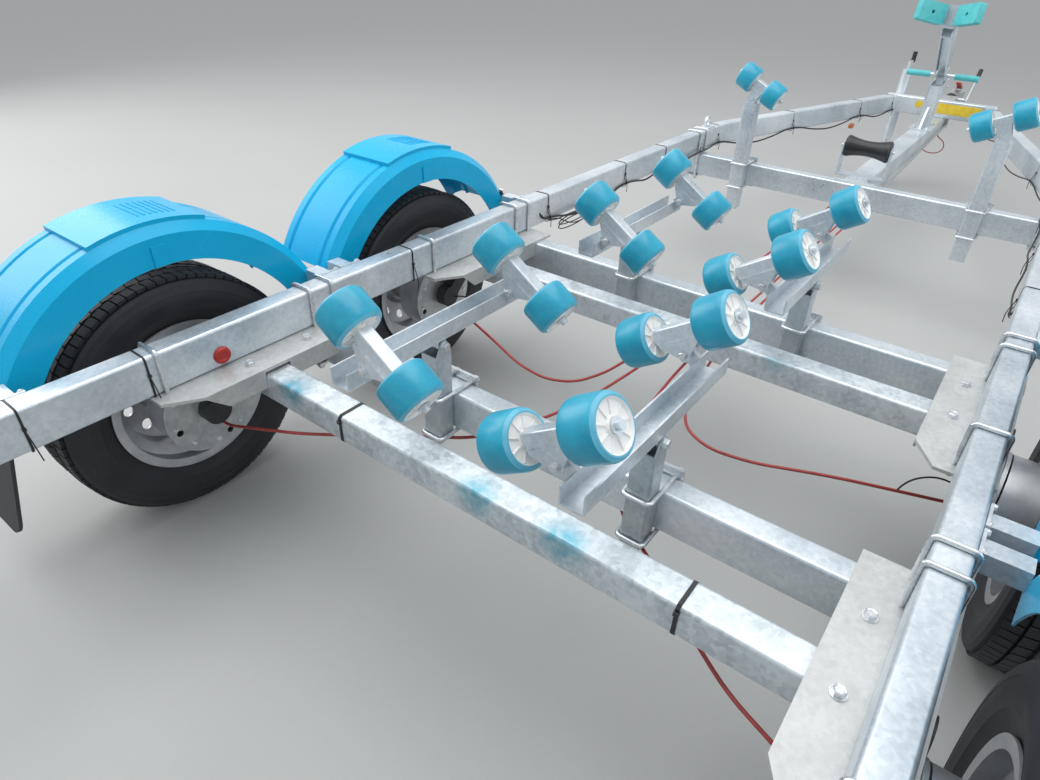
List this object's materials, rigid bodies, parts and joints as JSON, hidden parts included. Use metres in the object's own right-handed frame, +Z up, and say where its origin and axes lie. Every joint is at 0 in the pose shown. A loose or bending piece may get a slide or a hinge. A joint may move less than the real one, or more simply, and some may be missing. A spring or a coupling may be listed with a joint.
{
  "type": "boat trailer",
  "caption": "Tandem-axle galvanised boat trailer with blue mudguards, rocking roller cradles, bow pads, overrun coupling and jockey wheel.",
  "frame": {"origin": "on the floor, at the middle of the overall length and width", "axes": "+X towards the coupling, +Y to the left side, +Z up"},
  "size_m": [6.5, 2.25, 1.1484],
  "materials": {
    "galvanised": "dull spangled hot-dip galvanised steel",
    "black_steel": "satin black paint",
    "zinc_yellow": "zinc plated and passivated steel",
    "blue_plastic": "glossy moulded blue plastic",
    "blue_roller": "satin moulded blue rubber",
    "black_rubber": "matt black rubber",
    "tyre_rubber": "matt tyre rubber",
    "silver_rim": "satin silver paint",
    "grey_wheel": "solid dark rubber",
    "red_lens": "clear red lamp lens",
    "red_sheath": "matt red plastic sheath"
  },
  "bodies": {
    "frame": {"main_rails": "galvanised", "cross_beams": "galvanised", "axle_tubes": "black_steel", "axle_brackets": "galvanised", "swing_arms": "black_steel", "brake_backplates": "zinc_yellow", "mudguards": "blue_plastic", "mudguard_stays": "galvanised", "mudflaps": "black_rubber", "u_bolts": "galvanised", "cradle_posts": "galvanised", "bow_posts": "galvanised", "drawbar": "galvanised", "keel_bracket": "galvanised", "winch_post": "galvanised", "bow_pads": "blue_plastic", "push_grips": "blue_plastic", "overrun_unit": "zinc_yellow", "bellows": "black_rubber", "coupling_head": "zinc_yellow", "jockey_tube": "galvanised", "light_board": "blue_plastic", "rear_lamps": "red_lens", "brake_cables": "red_sheath"},
    "wheel_rear_left": {"tyre_rear_left": "tyre_rubber", "rim_rear_left": "silver_rim"},
    "wheel_rear_right": {"tyre_rear_right": "tyre_rubber", "rim_rear_right": "silver_rim"},
    "wheel_front_left": {"tyre_front_left": "tyre_rubber", "rim_front_left": "silver_rim"},
    "wheel_front_right": {"tyre_front_right": "tyre_rubber", "rim_front_right": "silver_rim"},
    "cradle_rear_left": {"cradle_arm_rear_left": "galvanised"},
    "yoke_rear_left_aft": {"yoke_rear_left_aft": "galvanised"},
    "rollers_rear_left_aft": {"rollers_rear_left_aft": "blue_roller"},
    "yoke_rear_left_fore": {"yoke_rear_left_fore": "galvanised"},
    "rollers_rear_left_fore": {"rollers_rear_left_fore": "blue_roller"},
    "cradle_rear_right": {"cradle_arm_rear_right": "galvanised"},
    "yoke_rear_right_aft": {"yoke_rear_right_aft": "galvanised"},
    "rollers_rear_right_aft": {"rollers_rear_right_aft": "blue_roller"},
    "yoke_rear_right_fore": {"yoke_rear_right_fore": "galvanised"},
    "rollers_rear_right_fore": {"rollers_rear_right_fore": "blue_roller"},
    "cradle_front_left": {"cradle_arm_front_left": "galvanised"},
    "yoke_front_left_aft": {"yoke_front_left_aft": "galvanised"},
    "rollers_front_left_aft": {"rollers_front_left_aft": "blue_roller"},
    "yoke_front_left_fore": {"yoke_front_left_fore": "galvanised"},
    "rollers_front_left_fore": {"rollers_front_left_fore": "blue_roller"},
    "cradle_front_right": {"cradle_arm_front_right": "galvanised"},
    "yoke_front_right_aft": {"yoke_front_right_aft": "galvanised"},
    "rollers_front_right_aft": {"rollers_front_right_aft": "blue_roller"},
    "yoke_front_right_fore": {"yoke_front_right_fore": "galvanised"},
    "rollers_front_right_fore": {"rollers_front_right_fore": "blue_roller"},
    "bow_rollers_left": {"bow_rollers_left": "blue_roller"},
    "bow_rollers_right": {"bow_rollers_right": "blue_roller"},
    "keel_roller": {"keel_roller": "black_rubber"},
    "jockey_leg": {"jockey_leg": "galvanised"},
    "jockey_fork": {"jockey_fork": "galvanised"},
    "jockey_wheel": {"jockey_wheel": "grey_wheel"},
    "handbrake_lever": {"handbrake_lever": "black_steel"},
    "coupling_latch": {"coupling_latch": "zinc_yellow"}
  },
  "joints": [
    {"name": "wheel_rear_left_spin", "type": "hinge", "parent": "frame", "child": "wheel_rear_left", "pos_m": [-2, 0.99, 0.327], "axis": [0, 1, 0], "continuous": true},
    {"name": "wheel_rear_right_spin", "type": "hinge", "parent": "frame", "child": "wheel_rear_right", "pos_m": [-2, -0.99, 0.327], "axis": [0, 1, 0], "continuous": true},
    {"name": "wheel_front_left_spin", "type": "hinge", "parent": "frame", "child": "wheel_front_left", "pos_m": [-1.12, 0.99, 0.327], "axis": [0, 1, 0], "continuous": true},
    {"name": "wheel_front_right_spin", "type": "hinge", "parent": "frame", "child": "wheel_front_right", "pos_m": [-1.12, -0.99, 0.327], "axis": [0, 1, 0], "continuous": true},
    {"name": "cradle_rear_left_rock", "type": "hinge", "parent": "frame", "child": "cradle_rear_left", "pos_m": [-1.734, 0.27, 0.604], "axis": [0, 1, 0], "range_deg": [-10, 10]},
    {"name": "yoke_rear_left_aft_swing", "type": "hinge", "parent": "cradle_rear_left", "child": "yoke_rear_left_aft", "pos_m": [-1.959, 0.222, 0.668], "axis": [1, 0, 0], "range_deg": [-15, 15]},
    {"name": "rollers_rear_left_aft_spin", "type": "hinge", "parent": "yoke_rear_left_aft", "child": "rollers_rear_left_aft", "pos_m": [-1.959, 0.19749, 0.70574], "axis": [0, 0.8387, 0.5446], "continuous": true},
    {"name": "yoke_rear_left_fore_swing", "type": "hinge", "parent": "cradle_rear_left", "child": "yoke_rear_left_fore", "pos_m": [-1.509, 0.222, 0.668], "axis": [1, 0, 0], "range_deg": [-15, 15]},
    {"name": "rollers_rear_left_fore_spin", "type": "hinge", "parent": "yoke_rear_left_fore", "child": "rollers_rear_left_fore", "pos_m": [-1.509, 0.19749, 0.70574], "axis": [0, 0.8387, 0.5446], "continuous": true},
    {"name": "cradle_rear_right_rock", "type": "hinge", "parent": "frame", "child": "cradle_rear_right", "pos_m": [-1.734, -0.27, 0.604], "axis": [0, 1, 0], "range_deg": [-10, 10]},
    {"name": "yoke_rear_right_aft_swing", "type": "hinge", "parent": "cradle_rear_right", "child": "yoke_rear_right_aft", "pos_m": [-1.959, -0.222, 0.668], "axis": [1, 0, 0], "range_deg": [-15, 15]},
    {"name": "rollers_rear_right_aft_spin", "type": "hinge", "parent": "yoke_rear_right_aft", "child": "rollers_rear_right_aft", "pos_m": [-1.959, -0.19749, 0.70574], "axis": [0, -0.8387, 0.5446], "continuous": true},
    {"name": "yoke_rear_right_fore_swing", "type": "hinge", "parent": "cradle_rear_right", "child": "yoke_rear_right_fore", "pos_m": [-1.509, -0.222, 0.668], "axis": [1, 0, 0], "range_deg": [-15, 15]},
    {"name": "rollers_rear_right_fore_spin", "type": "hinge", "parent": "yoke_rear_right_fore", "child": "rollers_rear_right_fore", "pos_m": [-1.509, -0.19749, 0.70574], "axis": [0, -0.8387, 0.5446], "continuous": true},
    {"name": "cradle_front_left_rock", "type": "hinge", "parent": "frame", "child": "cradle_front_left", "pos_m": [-0.854, 0.27, 0.604], "axis": [0, 1, 0], "range_deg": [-10, 10]},
    {"name": "yoke_front_left_aft_swing", "type": "hinge", "parent": "cradle_front_left", "child": "yoke_front_left_aft", "pos_m": [-1.079, 0.222, 0.668], "axis": [1, 0, 0], "range_deg": [-15, 15]},
    {"name": "rollers_front_left_aft_spin", "type": "hinge", "parent": "yoke_front_left_aft", "child": "rollers_front_left_aft", "pos_m": [-1.079, 0.19749, 0.70574], "axis": [0, 0.8387, 0.5446], "continuous": true},
    {"name": "yoke_front_left_fore_swing", "type": "hinge", "parent": "cradle_front_left", "child": "yoke_front_left_fore", "pos_m": [-0.629, 0.222, 0.668], "axis": [1, 0, 0], "range_deg": [-15, 15]},
    {"name": "rollers_front_left_fore_spin", "type": "hinge", "parent": "yoke_front_left_fore", "child": "rollers_front_left_fore", "pos_m": [-0.629, 0.19749, 0.70574], "axis": [0, 0.8387, 0.5446], "continuous": true},
    {"name": "cradle_front_right_rock", "type": "hinge", "parent": "frame", "child": "cradle_front_right", "pos_m": [-0.854, -0.27, 0.604], "axis": [0, 1, 0], "range_deg": [-10, 10]},
    {"name": "yoke_front_right_aft_swing", "type": "hinge", "parent": "cradle_front_right", "child": "yoke_front_right_aft", "pos_m": [-1.079, -0.222, 0.668], "axis": [1, 0, 0], "range_deg": [-15, 15]},
    {"name": "rollers_front_right_aft_spin", "type": "hinge", "parent": "yoke_front_right_aft", "child": "rollers_front_right_aft", "pos_m": [-1.079, -0.19749, 0.70574], "axis": [0, -0.8387, 0.5446], "continuous": true},
    {"name": "yoke_front_right_fore_swing", "type": "hinge", "parent": "cradle_front_right", "child": "yoke_front_right_fore", "pos_m": [-0.629, -0.222, 0.668], "axis": [1, 0, 0], "range_deg": [-15, 15]},
    {"name": "rollers_front_right_fore_spin", "type": "hinge", "parent": "yoke_front_right_fore", "child": "rollers_front_right_fore", "pos_m": [-0.629, -0.19749, 0.70574], "axis": [0, -0.8387, 0.5446], "continuous": true},
    {"name": "bow_rollers_left_spin", "type": "hinge", "parent": "frame", "child": "bow_rollers_left", "pos_m": [0.628, 0.4787, 0.82393], "axis": [0, 0.8988, 0.4384], "continuous": true},
    {"name": "bow_rollers_right_spin", "type": "hinge", "parent": "frame", "child": "bow_rollers_right", "pos_m": [0.628, -0.4787, 0.82393], "axis": [0, -0.8988, 0.4384], "continuous": true},
    {"name": "keel_roller_spin", "type": "hinge", "parent": "frame", "child": "keel_roller", "pos_m": [0.81, 0, 0.6], "axis": [0, 1, 0], "continuous": true},
    {"name": "jockey_leg_slide", "type": "slide", "parent": "frame", "child": "jockey_leg", "axis": [0, 0, 1], "range_m": [-0.12, 0.04]},
    {"name": "jockey_fork_swivel", "type": "hinge", "parent": "jockey_leg", "child": "jockey_fork", "pos_m": [2.628, 0.255, 0.25], "axis": [0, 0, 1], "continuous": true},
    {"name": "jockey_wheel_spin", "type": "hinge", "parent": "jockey_fork", "child": "jockey_wheel", "pos_m": [2.583, 0.255, 0.1], "axis": [0, 1, 0], "continuous": true},
    {"name": "handbrake_lever_turn", "type": "hinge", "parent": "frame", "child": "handbrake_lever", "pos_m": [2.83, -0.106, 0.545], "axis": [0, -1, 0], "range_deg": [0, 60]},
    {"name": "coupling_latch_lift", "type": "hinge", "parent": "frame", "child": "coupling_latch", "pos_m": [3.192, 0, 0.572], "axis": [0, 1, 0], "range_deg": [0, 40]}
  ]
}
